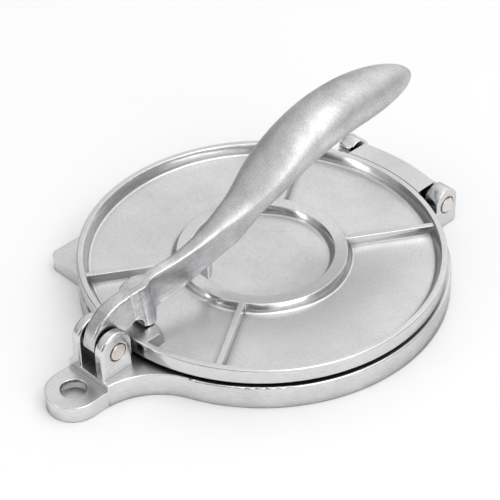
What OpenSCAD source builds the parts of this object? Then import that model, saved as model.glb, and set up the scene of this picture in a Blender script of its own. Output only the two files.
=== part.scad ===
// Cast tortilla press: two round plates hinged at the back, closed by a lever at the front.
// Millimetres. Origin: centre of the base disc, on the table. +Y runs to the rear hinge, +Z up.

/* [Base] */
// Radius of the base disc
base_r = 102.8; // [102.8:0.2:104]
// Height of the base disc
base_h = 13.6; // [13.2:0.1:13.8]
// Thickness of the pressing face over the hollow underside
base_skin = 5.6; // [4:0.2:8]
// Width of the wall round the hollow underside
base_wall = 6; // [5:0.5:9]
// Radius of the hub where the underside's ribs meet
hub_r = 13; // [8:1:20]
// Half width of the front lug
lug_half_w = 15; // [14.6:0.1:15.2]
// Height of the lug's tip
lug_h = 9.7; // [8:0.1:11]
// Distance from the disc's centre to the hanging hole
hang_y = 138.3; // [137:0.1:140]
// Radius of the hanging hole
hang_r = 7.2; // [5:0.1:8]
// Distance of the side tab's outer edge from the centre
tab_x = 94; // [93:0.2:95]
// Distance of the side tab's front edge from the centre
tab_y = 75.7; // [74:0.2:77]
// Height of the side tab
tab_h = 9.5; // [8:0.1:11]

/* [Front bracket] */
// Distance from the centre to the lever's pivot
pivot_y = 116.7; // [116.5:0.1:116.9]
// Height of the lever's pivot
pivot_z = 28.6; // [28.4:0.1:28.8]
// Distance from the centre to the middle of the ears
ear_y = 117.6; // [117.4:0.1:117.8]
// Height of the middle of the ears' round tops
ear_z = 30.3; // [30:0.1:30.6]
// Radius of the ears' rounded tops
ear_r = 10.3; // [10:0.1:10.6]
// Gap between the two ears
slot_w = 11.8; // [11.4:0.1:12]
// Thickness of each ear
ear_t = 6.1; // [5.6:0.1:6.6]
// Height of the block that carries the ears
block_h = 14.1; // [14:0.1:14.4]
// Distance from the centre to the block's front face
step_y = 127.9; // [127.7:0.1:128.4]

/* [Top plate] */
// Radius of the top plate
plate_r = 101.5; // [100.5:0.1:101.6]
// Distance of the plate's centre in front of the base disc's centre
plate_back = 1.6; // [1.4:0.1:2]
// Height of the rim over the plate's flat underside
plate_h = 9; // [8.6:0.1:9.2]
// Thickness of the plate's floor
plate_floor = 3; // [2.6:0.1:3.4]
// Width of the rim's flat top
rim_w = 3.3; // [3:0.1:3.6]
// Gap between the closed plates, measured at the hinge
plate_gap = 1.05; // [0.8:0.05:1.2]
// Angle at which the closed plate rests, front edge up
rest_tilt = 0.5; // [0:0.1:0.8]
// Outer radius of the stiffening ring's top
ring_out = 46.9; // [45:0.5:49]
// Inner radius of the stiffening ring's top
ring_in = 40.1; // [38:0.5:42]
// How far the ring and the ribs lie below the rim
ring_drop = 1.2; // [0.8:0.1:1.6]
// Angle of the ribs from the hinge's centre line
rib_angle = 32; // [28:1:36]

/* [Rear hinge] */
// Distance from the centre to the hinge pin
hinge_y = 108.5; // [108.4:0.1:108.8]
// Height of the hinge pin
hinge_z = 14.2; // [14:0.1:14.4]
// Radius of both pins
pin_r = 4; // [3.6:0.1:4.2]
// Radius of the pins' heads
head_r = 4.8; // [4.6:0.1:5]
// How far the heads stand out of the ears
head_proud = 0.5; // [0.2:0.1:0.8]
// Clearance between a pin and what turns on it
running_gap = 0.06; // [0.04:0.01:0.1]
// Half width of the plate's hinge block
block_half_w = 27; // [25:0.5:27.5]
// Radius of the hinge block's rear edge, about the plate's centre
block_r = 114.6; // [114.2:0.1:115]
// Distance from the middle to each rear ear
rear_ear_x = 29.5; // [29:0.1:30]
// Thickness of each rear ear
rear_ear_t = 9.2; // [8.6:0.1:10]

/* [Lever] */
// Half width of the eye that turns on the lever pin
eye_half_w = 4.2; // [3.6:0.1:4.6]
// Radius of the eye
eye_r = 6.9; // [6.6:0.1:7.2]
// Half width of the web between the eye and the nose
web_half_w = 3.4; // [3.2:0.1:3.6]
// Half width of the grip at its widest
grip_half_w = 16.8; // [16:0.1:17.6]

/* [Hidden] */
$fn = 96;

eps = 0.01;
cast_metal = [0.78, 0.78, 0.79];
pin_metal = [0.82, 0.78, 0.75];

ear_out = slot_w / 2 + ear_t;
rear_ear_out = rear_ear_x + rear_ear_t;
rear_ear_r = 8.2;
rear_ear_z = 16.8;
neck_r = 40;
seat_half_w = 6.3;
seat_r = 5.5;
seat_depth = 1.1;
base_notch_y = hinge_y - 9.4;
knuckle_r = 8.2;
plate_z = base_h + plate_gap;
rim_top = plate_h;
ring_top = plate_h - ring_drop;
wall_lean = 2.6;
ring_lean = 2;

// Points of an arc from angle a to angle b
function arc(c, r, a, b, n = 8) = [for (i = [0:n]) let (t = a + (b - a) * i / n) c + r * [cos(t), sin(t)]];

// Shapes drawn in the Y-Z plane and extruded along X, centred on x
module across(x, width) translate([x - width / 2, 0, 0]) rotate([90, 0, 90]) linear_extrude(width) children();

// Flat disc lying on its side, its edges rounded
module side_disc(r, width, edge) rotate([0, 90, 0]) rotate_extrude() intersection() {
    translate([0, -width / 2]) square([r, width]);
    union() {
        translate([0, -width / 2]) square([r - edge, width]);
        translate([0, edge - width / 2]) square([r, width - 2 * edge]);
        for (s = [-1, 1]) translate([r - edge, s * (width / 2 - edge)]) circle(edge, $fn = 32);
    }
}

// Round seat for a pin's head, cut into both outer faces of a pair of ears
module head_seats(out) for (s = [-1, 1])
    translate([s * (out - seat_depth + 10), 0, 0]) rotate([0, 90, 0])
        cylinder(r = seat_r, h = 20, center = true);

// Upright ear with a round top and rounded edges, its top's centre at height top
module ear(x, y, width, r, foot, top, edge) translate([x, y, 0]) {
    translate([0, 0, foot]) linear_extrude(top - foot) union() {
        square([width - 2 * edge, 2 * r], center = true);
        square([width, 2 * (r - edge)], center = true);
        for (sx = [-1, 1], sy = [-1, 1])
            translate([sx * (width / 2 - edge), sy * (r - edge)]) circle(edge, $fn = 32);
    }
    translate([0, 0, top]) side_disc(r, width, edge);
}

// Rib with sloping sides, from radius a to radius b
module rib(angle, a, b, foot, top, top_w, foot_w) rotate([0, 0, angle]) translate([a, 0, 0])
    rotate([90, 0, 90]) linear_extrude(b - a)
        polygon([[-foot_w / 2, foot], [foot_w / 2, foot], [top_w / 2, top], [-top_w / 2, top]]);

// ---- Base: disc, neck, lug, side tab, front and rear ears ----

module base_disc() {
    edge = 1;
    rotate_extrude($fn = 192) union() {
        square([base_r - edge, base_h]);
        square([base_r, base_h - edge]);
        translate([base_r - edge, base_h - edge]) circle(edge, $fn = 32);
    }
}

// Neck between the disc and the lug. Its hollow sides run smoothly into the disc's edge
module neck_outline() {
    side_x = lug_half_w + neck_r;
    side_y = sqrt(pow(base_r + neck_r - 0.02, 2) - pow(side_x, 2));
    difference() {
        translate([-41, -step_y]) square([82, step_y - 94.5]);
        for (s = [-1, 1]) translate([s * side_x, -side_y]) circle(neck_r, $fn = 128);
    }
}

module lug_outline() {
    translate([0, -hang_y]) circle(lug_half_w);
    translate([-lug_half_w, -hang_y]) square([2 * lug_half_w, hang_y - 120]);
}

module tab_outline() {
    corner = 4.5;
    translate([corner - tab_x, corner - tab_y]) circle(corner, $fn = 48);
    translate([corner - tab_x, -tab_y]) square([30, 34]);
    translate([-tab_x, corner - tab_y]) square([30, 30]);
}

module rear_ear_outline() {
    corner = 3;
    translate([hinge_y - 0.7, rear_ear_z]) circle(rear_ear_r);
    translate([93, 0]) square([hinge_y + 7.5 - corner - 93, base_h - 1]);
    translate([hinge_y - 0.7 - rear_ear_r, corner]) square([2 * rear_ear_r, rear_ear_z - corner]);
    translate([hinge_y + 7.5 - corner, corner]) circle(corner, $fn = 48);
}

// Small bar cast in front of the far rear ear
module ear_bar() across(-rear_ear_x - 4.2, 8.4) translate([101.4, 22.7]) circle(1.5, $fn = 32);

// Hollow under the lug, round the hanging hole
module lug_hollow() {
    wall = 3;
    depth = 3.8;
    translate([0, -hang_y, -eps]) cylinder(r = lug_half_w - wall, h = depth + eps);
    translate([wall - lug_half_w, -hang_y, -eps]) cube([2 * (lug_half_w - wall), hang_y - 130, depth + eps]);
}

// Hollow under the disc. It leaves the hub, two ribs and solid metal at the front block and the rear ears
module base_hollow() {
    depth = base_h - base_skin;
    inner_r = base_r - base_wall;
    solid_rear_y = 82;
    solid_front_y = 86;
    difference() {
        translate([0, 0, -eps]) cylinder(r1 = inner_r, r2 = inner_r - 2, h = depth, $fn = 192);
        translate([0, 0, -1]) cylinder(r = hub_r, h = depth + 2);
        for (a = [90 - rib_angle, 90 + rib_angle])
            rib(a, -base_r, base_r, -1, depth + 1, 6.5, 4);
        translate([-rear_ear_out - 4, solid_rear_y, -1]) cube([2 * rear_ear_out + 8, 30, depth + 2]);
        translate([-24, -solid_front_y - 30, -1]) cube([48, 30, depth + 2]);
    }
}

module base() color(cast_metal) difference() {
    union() {
        base_disc();
        linear_extrude(block_h) neck_outline();
        linear_extrude(lug_h) lug_outline();
        linear_extrude(tab_h) tab_outline();
        for (s = [-1, 1]) {
            ear(s * (ear_out - ear_t / 2), -ear_y, ear_t, ear_r, block_h - 1, ear_z, 1.5);
            across(s * (rear_ear_x + rear_ear_t / 2), rear_ear_t) rear_ear_outline();
        }
        ear_bar();
    }
    base_hollow();
    lug_hollow();
    translate([-rear_ear_x, base_notch_y, -1]) cube([2 * rear_ear_x, 30, base_h + 20]);
    translate([0, -hang_y, -1]) cylinder(r = hang_r, h = lug_h + 2);
    translate([0, -pivot_y, pivot_z]) {
        rotate([0, 90, 0]) cylinder(r = pin_r, h = 60, center = true);
        head_seats(ear_out);
    }
    translate([0, hinge_y, hinge_z]) {
        rotate([0, 90, 0]) cylinder(r = pin_r, h = 120, center = true);
        head_seats(rear_ear_out);
    }
}

// ---- Top plate: flat below, ribbed above, with the hinge block and its knuckle ----

module plate_profile() {
    fillet = 1.6;
    edge = 0.8;
    in_r = plate_r - rim_w;
    polygon(concat(
        [[0, 0], [plate_r - edge, 0], [plate_r, edge]],
        arc([plate_r - edge, rim_top - edge], edge, 0, 90, 5),
        [[in_r, rim_top], [in_r - wall_lean, plate_floor + fillet]],
        arc([in_r - wall_lean - fillet, plate_floor + fillet], fillet, 0, -90, 6),
        arc([ring_out + ring_lean + fillet, plate_floor + fillet], fillet, -90, -180, 6),
        [[ring_out, ring_top], [ring_in, ring_top]],
        arc([ring_in - ring_lean - fillet, plate_floor + fillet], fillet, 0, -90, 6),
        [[0, plate_floor]]));
}

// Outline of the pad's top, grown by g towards its foot
module pad_outline(g) polygon([
    [-13.7 - g, -99], [13.7 + g, -99], [13.7 + g, -88.6 + g], [6.6 + g, -84.2 + g],
    [-6.6 - g, -84.2 + g], [-13.7 - g, -88.6 + g]]);

// Pad that the lever's nose presses on, with a shallow seat
module nose_pad() difference() {
    hull() {
        translate([0, 0, rim_top - 1]) linear_extrude(1) pad_outline(0);
        translate([0, 0, 1]) linear_extrude(plate_floor - 1) pad_outline(2);
    }
    translate([-seat_half_w, -98, rim_top - 1]) cube([2 * seat_half_w, 40, 2]);
}

// The plate lies on its underside here, centred on its own axis
module plate_casting() {
    rotate_extrude($fn = 192) plate_profile();
    for (a = [90 - rib_angle, 90 + rib_angle, rib_angle - 90, -rib_angle - 90])
        rib(a, ring_out - 2, plate_r - rim_w, 1, ring_top, 3, 6);
    nose_pad();
    linear_extrude(plate_h) difference() {
        intersection() {
            circle(block_r, $fn = 192);
            translate([-block_half_w, 90]) square([2 * block_half_w, 40]);
        }
        circle(plate_r - 1, $fn = 192);
    }
}

// Fine line between the rim and the hinge block
module rim_line() rotate([0, 0, 74.8]) rotate_extrude(angle = 30.4, $fn = 192)
    translate([plate_r - 0.4, plate_h - 0.4]) square([0.5, 1]);

module plate_pose() translate([0, hinge_y, hinge_z]) rotate([-rest_tilt, 0, 0])
    translate([0, -hinge_y, -hinge_z]) children();

module top_plate() color(cast_metal) plate_pose() difference() {
    union() {
        translate([0, -plate_back, plate_z]) difference() {
            plate_casting();
            rim_line();
        }
        across(0, 2 * block_half_w) translate([hinge_y, hinge_z]) circle(knuckle_r);
    }
    translate([0, hinge_y, hinge_z]) rotate([0, 90, 0])
        cylinder(r = pin_r + running_gap, h = 3 * block_half_w, center = true);
}

// ---- Lever: eye, web, pressing nose and a swelling grip, all in one casting ----

// Stations along the arm and the grip, from the nose to the grip's thick part:
// y, z of the widest line, half width, height above it, depth below it, squareness above, below, lean
GRIP = [
    [-97, 51.4, 3.3, 1.2, 12, 2.4, 9, 0],
    [-80, 52.6, 3.5, 1.2, 20, 2.4, 9, 0],
    [-66, 52.4, 3.8, 1.5, 19.3, 2.4, 9, 0],
    [-50, 54.5, 4.6, 1.7, 17.2, 2.4, 8, 0],
    [-34, 58.6, 6.8, 3.2, 17.5, 2.2, 4, 0],
    [-26, 60.8, 8.5, 3.9, 17.8, 2.2, 3.2, 0],
    [-18, 63.9, 9.9, 4.3, 16.4, 2.2, 2.6, 0],
    [-9, 68.8, 12.3, 4.9, 14.3, 2.2, 2.4, 0],
    [2, 73.9, 14.9, 7.2, 13.4, 2.1, 2.2, 6],
    [20, 81, 16.1, 11.3, 13.2, 2.1, 2.1, 12],
    [40, 85.8, 16.8, 13.6, 13.4, 2, 2, 8],
    [60, 87.8, 16.3, 13.9, 13.1, 2, 2, 3]];
LAST = len(GRIP) - 1;
SIDES = 32;
STEPS = 4;
TIP_STEPS = 14;
table_half_w = max([for (s = GRIP) s[2]]);
tip_len = 55.3;
tip_fall = 4.1;
tip_turn = 14;

// A smooth curve through the stations
function blend(a, b, c, d, t) =
    0.5 * (2 * b + (c - a) * t + (2 * a - 5 * b + 4 * c - d) * t * t + (3 * b - a - 3 * c + d) * t * t * t);
function station(i) = i > LAST ? tip_station((i - LAST) * 20 / tip_len) : GRIP[max(0, i)];
function between(i, t) = blend(station(i - 1), station(i), station(i + 1), station(i + 2), t);

// Past the last station the grip narrows to a round tip, where t is 1
function tip_station(t) =
    let (s = GRIP[LAST], left = 1 - pow(t, 1.9), slim = pow(left, 0.55))
    [s[0] + tip_len * t, s[1] - tip_fall * pow(t, 2.2), s[2] * slim, s[3] * slim, s[4] * pow(left, 0.45),
     s[5], s[6], s[7] - tip_turn * t];
function grip_rows() = concat(
    [for (i = [0:LAST - 1], j = [0:STEPS - 1]) between(i, j / STEPS)],
    [for (i = [0:TIP_STEPS]) tip_station(sin(86 * i / TIP_STEPS))]);

// A section point at angle a, on an ellipse that is squared off by the station's two numbers
function bend(v, p) = sign(v) * pow(abs(v), p);
function section_point(s, a) =
    let (below = sin(a) < 0,
         p = 2 / (below ? s[6] : s[5]),
         widen = 1 + (grip_half_w / table_half_w - 1) * max(0, min(1, (s[0] + 18) / 40)),
         up = (below ? s[4] : s[3]) * bend(sin(a), p))
    [s[2] * widen * bend(cos(a), p), s[0] - up * sin(s[7]), s[1] + up * cos(s[7])];

module grip() {
    rows = grip_rows();
    n = len(rows);
    points = [for (s = rows, k = [0:SIDES - 1]) section_point(s, 360 * k / SIDES)];
    sides = [for (i = [0:n - 2], k = [0:SIDES - 1], h = [0, 1])
        let (a = i * SIDES + k, b = i * SIDES + (k + 1) % SIDES)
        h == 0 ? [a, b, a + SIDES] : [b, b + SIDES, a + SIDES]];
    ends = [[for (k = [0:SIDES - 1]) SIDES - 1 - k], [for (k = [0:SIDES - 1]) (n - 1) * SIDES + k]];
    polyhedron(points, concat(sides, ends));
}

// Web from the eye to the nose, with a round front edge that curls under to the eye
module web_outline() {
    intersection() {
        translate([-106, 29.4]) circle(21.4, $fn = 128);
        translate([-130, 30.6]) square([33, 30]);
    }
    polygon([[-127.35, 31], [-126.9, 29.8], [-125.9, 28.6], [-124.4, 27.2], [-122.8, 25.5], [-117, 25],
             [-111.5, 26], [-108, 29.6], [-104.5, 30.6], [-99.6, 32.6], [-97, 33.2], [-97, 36], [-116, 36]]);
    polygon([[-106, 50.8], [-102.5, 51.1], [-97, 52.2], [-90, 52.9], [-90, 36], [-106, 36]]);
}

// Side view of the nose that presses on the plate
module nose_outline() polygon(concat(
    [[-88, 53.1], [-94, 52.9], [-98, 52.3], [-101.2, 51.2], [-104.5, 50.9], [-101, 33]],
    arc([-97.5, 28.2], 5, 75, -20, 6),
    [[-91.9, 26.4], [-90.4, 25.2], [-83.8, 25.2], [-83, 26], [-82.2, 32], [-80.4, 33.6], [-75, 33.6],
     [-75, 52.9]]));

// The nose swells out of the web and the arm on both sides
NOSE_HALF = [[3.2, -12], [3.4, -10.4], [4.2, -7.6], [5.1, -4.6], [5.7, -2.2], [5.9, 0], [5.7, 1.8],
    [5.3, 3.2], [4.7, 4.6], [4.2, 6], [3.7, 8.4], [3.2, 11]];
module nose() intersection() {
    across(0, 13) nose_outline();
    translate([0, -90.6, 38]) rotate([8.5, 0, 0]) linear_extrude(60, center = true)
        polygon(concat(NOSE_HALF, [for (i = [len(NOSE_HALF) - 1:-1:0]) [-NOSE_HALF[i][0], NOSE_HALF[i][1]]]));
}

// Small tooth under the arm
module arm_tooth() across(0, 6.6)
    polygon([[-45.3, 29.2], [-44, 28.8], [-41.4, 30.6], [-41.2, 44], [-45.3, 44]]);

module lever() color(cast_metal) difference() {
    union() {
        grip();
        translate([0, -pivot_y, pivot_z]) side_disc(eye_r, 2 * eye_half_w, 0.8);
        across(0, 2 * web_half_w) web_outline();
        nose();
        arm_tooth();
    }
    translate([0, -pivot_y, pivot_z]) rotate([0, 90, 0])
        cylinder(r = pin_r + running_gap, h = 4 * eye_half_w, center = true);
}

// ---- Pins ----

// Pin with a low round head at each end; out is the distance from its middle to the ears' outer faces
module pin(out) {
    top = out + head_proud;
    under = out - seat_depth;
    edge = 0.5;
    rotate([0, 90, 0]) rotate_extrude() polygon([
        [0, -top], [head_r - edge, -top], [head_r, edge - top], [head_r, -under], [pin_r, -under],
        [pin_r, under], [head_r, under], [head_r, top - edge], [head_r - edge, top], [0, top]]);
}

module lever_pin() color(pin_metal) translate([0, -pivot_y, pivot_z]) pin(ear_out);

module hinge_pin() color(pin_metal) translate([0, hinge_y, hinge_z]) pin(rear_ear_out);

base();
top_plate();
lever();
lever_pin();
hinge_pin();
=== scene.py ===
import math

import bpy
import numpy as np
from mathutils import Matrix, Vector


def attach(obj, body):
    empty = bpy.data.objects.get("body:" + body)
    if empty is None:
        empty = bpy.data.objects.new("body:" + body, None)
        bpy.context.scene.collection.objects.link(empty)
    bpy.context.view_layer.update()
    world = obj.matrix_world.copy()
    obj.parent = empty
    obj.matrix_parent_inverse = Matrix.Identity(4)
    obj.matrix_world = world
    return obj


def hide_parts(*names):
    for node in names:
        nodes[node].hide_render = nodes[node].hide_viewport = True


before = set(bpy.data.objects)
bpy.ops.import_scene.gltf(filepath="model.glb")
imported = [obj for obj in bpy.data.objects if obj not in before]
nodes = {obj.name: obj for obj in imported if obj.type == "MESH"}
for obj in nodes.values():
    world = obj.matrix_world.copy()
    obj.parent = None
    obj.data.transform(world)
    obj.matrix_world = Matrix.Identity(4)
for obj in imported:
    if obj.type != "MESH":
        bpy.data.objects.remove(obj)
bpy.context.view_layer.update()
print("frame loaded:", ", ".join(sorted(nodes)))

# ---- Node helpers ----


def newMaterial(name):
    material = bpy.data.materials.new(name)
    material.use_nodes = True
    tree = material.node_tree
    tree.nodes.clear()
    output = tree.nodes.new("ShaderNodeOutputMaterial")
    shader = tree.nodes.new("ShaderNodeBsdfPrincipled")
    tree.links.new(shader.outputs["BSDF"], output.inputs["Surface"])
    return material, tree, shader


def add(tree, kind, inputs=None, **settings):
    node = tree.nodes.new("ShaderNode" + kind)
    for key, value in settings.items():
        setattr(node, key, value)
    for key, value in (inputs or {}).items():
        plug(tree, value, node.inputs[key])
    return node


def plug(tree, value, socket):
    # a node gives its first output, a socket is linked as it is, a number is set
    if isinstance(value, bpy.types.Node):
        tree.links.new(value.outputs[0], socket)
    elif isinstance(value, bpy.types.NodeSocket):
        tree.links.new(value, socket)
    else:
        socket.default_value = value


def maths(tree, operation, a, b=0.0, clamp=False):
    return add(tree, "Math", {0: a, 1: b}, operation=operation, use_clamp=clamp)


def remap(tree, value, fromLow, fromHigh, toLow, toHigh, smooth=False):
    kind = "SMOOTHSTEP" if smooth else "LINEAR"
    return add(tree, "MapRange", {"Value": value, "From Min": fromLow, "From Max": fromHigh,
                                  "To Min": toLow, "To Max": toHigh}, interpolation_type=kind)


def mixColour(tree, factor, a, b):
    node = tree.nodes.new("ShaderNodeMix")
    node.data_type = "RGBA"
    plug(tree, factor, node.inputs[0])
    plug(tree, a, node.inputs[6])
    plug(tree, b, node.inputs[7])
    return node.outputs[2]


def mixLevel(tree, factor, a, b):
    node = tree.nodes.new("ShaderNodeMix")
    plug(tree, factor, node.inputs[0])
    plug(tree, a, node.inputs[2])
    plug(tree, b, node.inputs[3])
    return node.outputs[0]


def noise(tree, place, scale, detail=2.0, rough=0.5):
    return add(tree, "TexNoise", {"Vector": place, "Scale": scale, "Detail": detail, "Roughness": rough})


def axisOf(tree, vector, axis):
    return add(tree, "SeparateXYZ", {"Vector": vector}).outputs[axis]


def shine(tree, tone, span, roughness):
    # the brighter the tone, the smoother the metal
    smooth, coarse = roughness
    return remap(tree, tone, *span, coarse, smooth)


def relief(tree, shader, strength, depth, height, normal):
    bump = add(tree, "Bump", {"Strength": strength, "Distance": depth, "Height": height, "Normal": normal})
    plug(tree, bump, shader.inputs["Normal"])


# ---- Finishes ----

satinCasting = {
    "colour": (0.78, 0.78, 0.785, 1.0),
    "shade": (0.60, 0.60, 0.605, 1.0),
    "toneSpan": (0.36, 0.64),            # the noise between these goes from shade to colour
    "worn": (0.86, 0.86, 0.86, 1.0),
    "wornBend": (0.995, 0.93),           # how far the rounded normal turns at a worn edge (cosines)
    "baseWear": 0.0009,                  # metres, how wide the edges are rubbed bright
    "plateWear": 0.0006,
    "slotShadeColour": (0.16, 0.16, 0.16, 1.0),     # painted shade, near black, in the slots and gaps between parts
    "slotReach": 0.014,                  # metres
    "slotOpen": (0.55, 0.12),            # how open it is where the painted shade begins and is full
    "cleanHole": (-0.132, -0.129),       # y, no painted shade in front of this, in the hanging hole
    "cornerShadeColour": (0.24, 0.24, 0.245, 1.0),   # painted shade in the inner corners
    "cornerShadeReach": 0.006,
    "cornerShadeOpen": (0.88, 0.5),
    "baseCornerShade": 0.2,                    # how much of this painted corner shade the base and the plate keep
    "plateCornerShade": 0.7,
    "cornerRoughness": 0.62,
    "edgeTint": (0.75, 0.75, 0.76, 1.0),
    "faceSlope": (0.8, 0.96),            # upright share of the normal, from a wall to a flat face
    "faceRoughness": (0.29, 0.40),
    "wallRoughness": (0.12, 0.24),
    "brushTurn": 38.0,                   # degrees, moves the pattern; the streaks always lie along x
    "brushStretch": 2.5,
    "brushSize": 1100.0,                 # marks per metre
    "brushShare": 0.5,                   # the rest of the tone comes from the clouds
    "cloudSize": 24.0,
    "turningSize": (260.0, 1500.0),      # turning marks on the walls: along and across
    "grainStrength": 0.6,
    "grainDepth": 0.00005,
}


def wornEdge(tree, radius, bend):
    # 0 on a face, 1 where the soft normal turns away from the real one
    soft = add(tree, "Bevel", {"Radius": radius}, samples=6)
    real = tree.nodes.new("ShaderNodeNewGeometry").outputs["Normal"]
    facing = add(tree, "VectorMath", {0: soft, 1: real}, operation="DOT_PRODUCT")
    return soft, remap(tree, facing.outputs["Value"], *bend, 0.0, 1.0)


def occlusionShadeMask(tree, reach, span, most, alone):
    # mask for painted shade: 0 in the open, most where it is most closed in; alone leaves the other castings
    # out
    shade = add(tree, "AmbientOcclusion", {"Distance": reach}, samples=12, only_local=alone)
    return remap(tree, shade.outputs["AO"], *span, 0.0, most)


def makeSatinCasting(name, spec, cornerShadeShare, wearRadius):
    material, tree, shader = newMaterial(name)
    texture = tree.nodes.new("ShaderNodeTexCoord")
    place = texture.outputs["Object"]
    slope = maths(tree, "ABSOLUTE", axisOf(tree, texture.outputs["Normal"], "Z"))
    flat = remap(tree, slope, *spec["faceSlope"], 0.0, 1.0, smooth=True)
    lay = add(tree, "Mapping", {"Vector": place, "Rotation": (0, 0, math.radians(spec["brushTurn"])),
                                "Scale": (1.0 / spec["brushStretch"], 1.0, 1.0)})
    brush = noise(tree, lay, spec["brushSize"], 4.0, 0.7)
    along, across = spec["turningSize"]
    lathe = add(tree, "Mapping", {"Vector": place, "Scale": (along, along, across)})
    turning = noise(tree, lathe, 1.0, 4.0, 0.6)
    cloud = noise(tree, place, spec["cloudSize"], 4.0, 0.6)
    marks = mixLevel(tree, flat, turning, brush)
    soft, wear = wornEdge(tree, wearRadius, spec["wornBend"])
    tone = mixLevel(tree, spec["brushShare"], cloud, marks)
    colour = mixColour(tree, remap(tree, tone, *spec["toneSpan"], 0.0, 1.0), spec["shade"], spec["colour"])
    colour = mixColour(tree, wear, colour, spec["worn"])
    # painted shade: darker in the inner corners where a casting closes in on itself; rougher there too
    cornerShadeMask = occlusionShadeMask(tree, spec["cornerShadeReach"], spec["cornerShadeOpen"], cornerShadeShare, True)
    colour = mixColour(tree, cornerShadeMask, colour, spec["cornerShadeColour"])
    # painted shade: near black where the castings close in, the other castings counted too
    slotShadeMask = occlusionShadeMask(tree, spec["slotReach"], spec["slotOpen"], 1.0, False)
    behindHole = remap(tree, axisOf(tree, place, "Y"), *spec["cleanHole"], 0.0, 1.0)
    slotShadeMask = maths(tree, "MULTIPLY", slotShadeMask, behindHole)
    plug(tree, mixColour(tree, slotShadeMask, colour, spec["slotShadeColour"]), shader.inputs["Base Color"])
    shader.inputs["Metallic"].default_value = 1.0
    shader.inputs["Specular Tint"].default_value = spec["edgeTint"]
    faceRough = shine(tree, tone, spec["toneSpan"], spec["faceRoughness"])
    wallRough = shine(tree, tone, spec["toneSpan"], spec["wallRoughness"])
    rough = mixLevel(tree, flat, wallRough, faceRough)
    plug(tree, mixLevel(tree, cornerShadeMask, rough, spec["cornerRoughness"]), shader.inputs["Roughness"])
    relief(tree, shader, spec["grainStrength"], spec["grainDepth"], marks, soft)
    return material


handFinish = {
    "colour": (0.76, 0.76, 0.765, 1.0),
    "shade": (0.42, 0.42, 0.43, 1.0),
    "toneSpan": (0.38, 0.6),
    "edgeTint": (0.75, 0.75, 0.76, 1.0),
    "roughness": (0.38, 0.54),
    "armRoughness": (0.18, 0.29),
    "roughSpan": (0.36, 0.64),       # the noise between these goes from rough to smooth
    "gripStart": (-0.075, -0.02),    # y, from the polished arm to the sanded grip
    "marksShare": (0.35, 0.6),       # of the tone, on the arm and on the grip; the rest is clouds
    "cloudSize": 45.0,
    "grainSize": 2100.0,     # grains per metre
    "grainDepth": 0.0002,
    "grainStrength": (0.12, 0.6),    # on the arm and on the grip
    "scratchStretch": 10.0,
    "scratchSize": 1500.0,   # scratches run along the arm
    "scratchShare": 0.5,     # of the grain's height
    "waveSize": 75.0,
    "waveDepth": 0.0005,
}


def makeHandFinish(name, spec):
    material, tree, shader = newMaterial(name)
    place = tree.nodes.new("ShaderNodeTexCoord").outputs["Object"]
    grip = remap(tree, axisOf(tree, place, "Y"), *spec["gripStart"], 0.0, 1.0, smooth=True)
    grain = noise(tree, place, spec["grainSize"], 3.0, 0.6)
    lay = add(tree, "Mapping", {"Vector": place, "Scale": (1.0, 1.0 / spec["scratchStretch"], 1.0)})
    scratch = noise(tree, lay, spec["scratchSize"], 3.0, 0.6)
    cloud = noise(tree, place, spec["cloudSize"], 4.0, 0.6)
    wave = noise(tree, place, spec["waveSize"], 2.0)
    marks = mixLevel(tree, grip, scratch, grain)
    tone = mixLevel(tree, mixLevel(tree, grip, *spec["marksShare"]), cloud, marks)
    colour = mixColour(tree, remap(tree, tone, *spec["toneSpan"], 0.0, 1.0), spec["shade"], spec["colour"])
    plug(tree, colour, shader.inputs["Base Color"])
    shader.inputs["Metallic"].default_value = 1.0
    shader.inputs["Specular Tint"].default_value = spec["edgeTint"]
    gripRough = shine(tree, tone, spec["roughSpan"], spec["roughness"])
    armRough = shine(tree, tone, spec["roughSpan"], spec["armRoughness"])
    plug(tree, mixLevel(tree, grip, armRough, gripRough), shader.inputs["Roughness"])
    strength = mixLevel(tree, grip, *spec["grainStrength"])
    swell = add(tree, "Bump", {"Strength": strength, "Distance": spec["waveDepth"], "Height": wave})
    height = maths(tree, "ADD", maths(tree, "MULTIPLY", scratch, spec["scratchShare"]), grain)
    relief(tree, shader, strength, spec["grainDepth"], height, swell)
    return material


pinMetal = {
    "colour": (0.83, 0.765, 0.72, 1.0),
    "shade": (0.7138, 0.6579, 0.6192, 1.0),
    "side": (0.10, 0.095, 0.09, 1.0),    # painted shade, near black, on the heads' sides
    "sideSlope": (0.45, 0.8),            # sideways share of the normal, from the side to the face
    "roughness": (0.24, 0.36),
    "speckSize": 900.0,
    "speckSpan": (0.3, 0.7),
    "speckStrength": 0.2,
    "speckDepth": 0.00003,
    "edgeRadius": 0.0004,
}


def makePinMetal(name, spec):
    material, tree, shader = newMaterial(name)
    texture = tree.nodes.new("ShaderNodeTexCoord")
    shader.inputs["Metallic"].default_value = 1.0
    speck = noise(tree, texture.outputs["Object"], spec["speckSize"], 3.0)
    colour = mixColour(tree, speck, spec["shade"], spec["colour"])
    # painted shade on the heads' sides, picked by the sideways share of the normal
    along = maths(tree, "ABSOLUTE", axisOf(tree, texture.outputs["Normal"], "X"))
    colour = mixColour(tree, remap(tree, along, *spec["sideSlope"], 0.0, 1.0), spec["side"], colour)
    plug(tree, colour, shader.inputs["Base Color"])
    plug(tree, remap(tree, speck, *spec["speckSpan"], *spec["roughness"]), shader.inputs["Roughness"])
    edge = add(tree, "Bevel", {"Radius": spec["edgeRadius"]}, samples=6)
    relief(tree, shader, spec["speckStrength"], spec["speckDepth"], speck, edge)
    return material


def dress(piece, material):
    piece.data.materials.clear()
    piece.data.materials.append(material)


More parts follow.
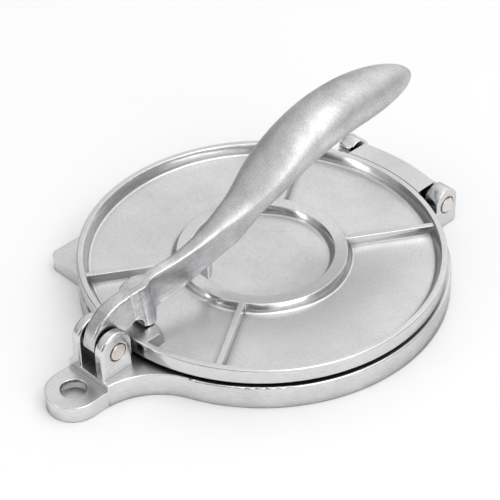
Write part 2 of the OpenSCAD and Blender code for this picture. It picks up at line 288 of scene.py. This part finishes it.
baseCasting = makeSatinCasting("baseCasting", satinCasting, satinCasting["baseCornerShade"],
                               satinCasting["baseWear"])
plateCasting = makeSatinCasting("plateCasting", satinCasting, satinCasting["plateCornerShade"],
                                satinCasting["plateWear"])
handCasting = makeHandFinish("handFinishedCasting", handFinish)
pinFinish = makePinMetal("pinSteel", pinMetal)
print("finishes done")

# ---- Turned and drilled parts keep their solids, with their sharp edges broken ----

brokenEdges = {    # width in metres; sharp, the degrees from which an edge counts as sharp
    "base": {"width": 0.00035, "sharp": 52},
    "top_plate": {"width": 0.00035, "sharp": 32, "sliver": 0.000005},   # slivers beside the ribs
    "lever_pin": {"width": 0.00025, "sharp": 32},
    "hinge_pin": {"width": 0.00025, "sharp": 32},
}


def weldPoints(piece, name, reach):
    weld = piece.modifiers.new(name, "WELD")
    weld.merge_threshold = reach


def breakEdges(piece, spec):
    weldPoints(piece, "weld", 0.000002)
    bevel = piece.modifiers.new("brokenEdge", "BEVEL")
    bevel.width = spec["width"]
    bevel.segments = 2
    bevel.limit_method = "ANGLE"
    bevel.angle_limit = math.radians(spec["sharp"])
    bevel.harden_normals = True
    if "sliver" in spec:
        weldPoints(piece, "slivers", spec["sliver"])


for name, spec in brokenEdges.items():
    breakEdges(nodes[name], spec)
dress(nodes["base"], baseCasting)
dress(nodes["top_plate"], plateCasting)
dress(nodes["lever_pin"], pinFinish)
dress(nodes["hinge_pin"], pinFinish)

# ---- Lever: one smooth hand-finished casting over its solid ----

leverCasting = {
    "grid": 0.0005,          # spacing of the skin's points
    "softening": 18,         # rounds of smoothing, which makes the fillets
    "gripStart": (-0.055, -0.015),  # y, from the crisp arm to the soft grip
    "armSoftness": 0.16,
    "lastSoftening": 5,      # rounds more after the widening
    "pinAxis": (-0.1167, 0.0286),   # y, z
    "boreRadius": 0.00407,
    "boreCatch": 0.0003,     # points this close outside the bore are set on it
    "keepRadius": 0.0052,    # nothing is softened nearer the pin than this
    "keepRamp": 0.001,
    "eyeEdge": (0.0070, 0.0078),    # distance from the pin, from the eye to the web
    "eyeHalf": (0.0042, 0.0052),    # half width, before and after
    "webHalf": (0.0034, 0.0050, 0.0045),    # before, after at the eye, after at the nose
    "webRun": (-0.112, -0.099),
    "noseFoot": (-0.0906, 0.038, 8.5),      # y, z and lean in degrees of the nose's middle line
    "noseFromPin": 0.012,    # the nose's widths hold further than this from the pin
    "webBelow": -2.0,        # mm along, the nose is at least as wide as the web below this
    "noseBefore": ((-10.4, 3.4), (-7.6, 4.2), (-4.6, 5.1), (-2.2, 5.7), (0, 5.9), (1.8, 5.7), (3.2, 5.3),
                   (4.6, 4.7), (6, 4.2), (8.4, 3.7), (10.5, 3.3)),      # mm along, half width
    "noseAfter": ((-8.3, 0.0), (-7.1, 4.85), (-2.5, 5.65), (-1.8, 5.5), (-0.8, 5.9), (0.8, 6.1), (2.2, 6.0),
                  (3.6, 5.5), (5, 4.7), (6.4, 4.0), (8.4, 3.6), (10.5, 3.3)),
}


def skinOf(node, gridSize):
    skin = node.copy()
    skin.data = node.data.copy()
    bpy.context.scene.collection.objects.link(skin)
    weldPoints(skin, "weld", 0.000002)
    remesh = skin.modifiers.new("skin", "REMESH")
    remesh.mode = "VOXEL"
    remesh.voxel_size = gridSize
    remesh.use_smooth_shade = True
    mesh = bpy.data.meshes.new_from_object(skin.evaluated_get(bpy.context.evaluated_depsgraph_get()))
    bpy.data.objects.remove(skin)
    return mesh


def soften(mesh, rounds, weight):
    count = len(mesh.vertices)
    points = np.empty(count * 3)
    mesh.vertices.foreach_get("co", points)
    points = points.reshape(-1, 3)
    ends = np.empty(len(mesh.edges) * 2, dtype=np.int64)
    mesh.edges.foreach_get("vertices", ends)
    a, b = ends.reshape(-1, 2).T
    degree = np.bincount(ends, minlength=count)[:, None]
    keep = weight(points)[:, None]
    for i in range(rounds):
        total = np.zeros_like(points)
        for axis in range(3):
            total[:, axis] = np.bincount(a, points[b, axis], count) + np.bincount(b, points[a, axis], count)
        points += 0.5 * keep * (total / degree - points)
    return points


def fullness(points, spec):
    # how much wider the skin becomes on each side of the eye, the web and the nose
    x, y, z = points.T
    fromPin = np.hypot(y - spec["pinAxis"][0], z - spec["pinAxis"][1])
    middleY, middleZ, lean = spec["noseFoot"]
    lean = math.radians(lean)
    along = 1000 * ((y - middleY) * math.cos(lean) + (z - middleZ) * math.sin(lean))
    before, eyeWeb, noseWeb = spec["webHalf"]
    nearSide = x > 0
    web = np.where(nearSide, np.interp(y, spec["webRun"], (eyeWeb, noseWeb)), before)
    eye = np.where(nearSide, spec["eyeHalf"][1], spec["eyeHalf"][0])
    ratio = np.interp(fromPin, spec["eyeEdge"], (0, 1))
    scale = (1 - ratio) * eye / spec["eyeHalf"][0] + ratio * web / before
    noseX, noseHalf = np.array(spec["noseAfter"]).T
    oldX, oldHalf = np.array(spec["noseBefore"]).T
    wasHalf = np.interp(along, oldX, oldHalf)
    newHalf = np.maximum(np.interp(along, noseX, noseHalf), np.where(along < spec["webBelow"], web * 1000, 0))
    inNose = (along > oldX[0]) & (fromPin > spec["noseFromPin"])
    return np.where(inNose, newHalf / wasHalf, scale)


def makeLever(spec):
    axis = np.array(spec["pinAxis"])
    mesh = skinOf(nodes["lever"], spec["grid"])

    def fromPin(points):
        return np.linalg.norm(points[:, 1:] - axis, axis=1)

    def looseness(points):
        clear = np.clip((fromPin(points) - spec["keepRadius"]) / spec["keepRamp"], 0, 1)
        return clear * np.interp(points[:, 1], spec["gripStart"], (spec["armSoftness"], 1))

    points = soften(mesh, spec["softening"], looseness)
    points[:, 0] *= fullness(points, spec)
    mesh.vertices.foreach_set("co", points.ravel())
    points = soften(mesh, spec["lastSoftening"], looseness)
    distance = fromPin(points)
    inBore = distance < spec["boreRadius"] + spec["boreCatch"]
    pull = (spec["boreRadius"] / distance[inBore])[:, None]
    points[inBore, 1:] = axis + (points[inBore, 1:] - axis) * pull
    mesh.vertices.foreach_set("co", points.ravel())
    mesh.update()
    lever = bpy.data.objects.new("leverCasting", mesh)
    bpy.context.scene.collection.objects.link(lever)
    dress(lever, handCasting)
    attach(lever, "lever")
    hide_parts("lever")
    return lever


makeLever(leverCasting)
print("castings done")

# ---- Studio ----

studio = {
    "floorSize": 6.0,
    "floorDrop": 0.0002,     # below the base, so that the two don't share a plane
    "floorColour": (0.96, 0.96, 0.96, 1.0),
    "floorRoughness": 0.9,
    "floorGloss": 0.1,
    "openLevel": 1.0,        # the white surround, as the camera sees it
    "wallLevel": 0.78,       # what the press mirrors at the height of the table
    "skyLevel": 1.40,        # what it mirrors high up
    "skyHeight": 0.75,       # sine of the angle at which it gets there
    "spread": 0.615,         # share of the surround that lights the table
}

# Dark places in the surround: towards, where the dark begins and is full (cosines), how dark
darkPlaces = {
    "dimSide": ((-0.72, -0.35, 0.60), 0.10, 0.95, 0.46),
    "lampGap": ((0.68, 0.60, 0.42), 0.76, 0.96, 0.62),
    "backCloth": ((0.37, -0.91, 0.21), 0.80, 0.92, 0.80),
    "leftCloth": ((-0.98, -0.17, 0.0), 0.70, 0.94, 0.66),
}

overheadBox = {"place": (0.95, 0.4, 2.3), "size": (1.9, 2.1), "energy": 14.5}
sideBox = {"place": (2.15, -0.3, 1.6), "size": (1.5, 1.5), "energy": 8.6}
frontStrip = {"place": (-0.86, -2.36, 0.78), "size": (0.5, 1.3), "energy": 3.5}


def makeFloor(spec):
    half = spec["floorSize"] / 2
    mesh = bpy.data.meshes.new("floor")
    corners = [(-half, -half, 0), (half, -half, 0), (half, half, 0), (-half, half, 0)]
    mesh.from_pydata(corners, [], [(0, 1, 2, 3)])
    floor = bpy.data.objects.new("floor", mesh)
    floor.location.z = -spec["floorDrop"]
    bpy.context.scene.collection.objects.link(floor)
    material, tree, shader = newMaterial("paleFloor")
    shader.inputs["Base Color"].default_value = spec["floorColour"]
    shader.inputs["Roughness"].default_value = spec["floorRoughness"]
    shader.inputs["Specular IOR Level"].default_value = spec["floorGloss"]
    floor.data.materials.append(material)
    return floor


def makeWorld(spec, dark):
    world = bpy.data.worlds.new("studio")
    bpy.context.scene.world = world
    world.use_nodes = True
    tree = world.node_tree
    tree.nodes.clear()
    path = tree.nodes.new("ShaderNodeLightPath")
    direction = tree.nodes.new("ShaderNodeTexCoord").outputs["Generated"]
    height = axisOf(tree, direction, "Z")
    tent = remap(tree, height, 0.0, spec["skyHeight"], spec["wallLevel"], spec["skyLevel"], smooth=True)
    mirrored = tent
    for towards, low, high, dimming in dark.values():
        aim = Vector(towards).normalized()
        facing = add(tree, "VectorMath", {0: direction, 1: aim}, operation="DOT_PRODUCT")
        shade = remap(tree, facing.outputs["Value"], low, high, 1.0, 1.0 - dimming, smooth=True)
        mirrored = maths(tree, "MULTIPLY", mirrored, shade)
    seen = maths(tree, "MAXIMUM", path.outputs["Is Camera Ray"], path.outputs["Is Transmission Ray"])
    soft = maths(tree, "MULTIPLY", tent, spec["spread"])
    unseen = mixLevel(tree, path.outputs["Is Glossy Ray"], soft, mirrored)
    level = mixLevel(tree, seen, unseen, spec["openLevel"])
    background = add(tree, "Background", {"Color": (1, 1, 1, 1), "Strength": level})
    output = tree.nodes.new("ShaderNodeOutputWorld")
    tree.links.new(background.outputs[0], output.inputs["Surface"])


def areaLight(name, spec):
    data = bpy.data.lights.new(name, "AREA")
    data.shape = "RECTANGLE"
    data.size, data.size_y = spec["size"]
    data.energy = spec["energy"]
    lamp = bpy.data.objects.new(name, data)
    bpy.context.scene.collection.objects.link(lamp)
    lamp.location = spec["place"]
    lamp.rotation_euler = (-Vector(spec["place"])).to_track_quat("-Z", "Y").to_euler()
    return lamp


makeFloor(studio)
makeWorld(studio, darkPlaces)
areaLight("overheadBox", overheadBox)
areaLight("sideBox", sideBox)
areaLight("frontStrip", frontStrip)
print("studio done")

# ---- Camera ----

view = {
    "azimuth": 46.26, "elevation": 38.7677, "roll": -1.1792,   # degrees
    "aim": (0.0, -0.0015836, 0.0),
    "distance": 1.0811405, "across": -0.006936, "up": 0.017658,   # metres
    "focalPixels": 1947.62, "frameWidth": 500, "sensor": 36.0,
    "clip": (0.05, 30.0),
}


def makeCamera(spec):
    azimuth, elevation, roll = (math.radians(spec[k]) for k in ("azimuth", "elevation", "roll"))
    back = Vector((math.sin(azimuth) * math.cos(elevation), -math.cos(azimuth) * math.cos(elevation),
                   math.sin(elevation)))
    level = Vector((math.cos(azimuth), math.sin(azimuth), 0))
    upright = back.cross(level)
    right = math.cos(roll) * level + math.sin(roll) * upright
    up = math.cos(roll) * upright - math.sin(roll) * level
    place = Vector(spec["aim"]) + spec["distance"] * back + spec["across"] * right + spec["up"] * up
    data = bpy.data.cameras.new("camera")
    data.sensor_width = spec["sensor"]
    data.lens = spec["focalPixels"] * spec["sensor"] / spec["frameWidth"]
    data.clip_start, data.clip_end = spec["clip"]
    camera = bpy.data.objects.new("camera", data)
    bpy.context.scene.collection.objects.link(camera)
    turn = Matrix((right, up, back)).transposed().to_4x4()
    camera.matrix_world = Matrix.Translation(place) @ turn
    bpy.context.scene.camera = camera


makeCamera(view)
bpy.context.scene.view_settings.view_transform = "Standard"
print("camera done")
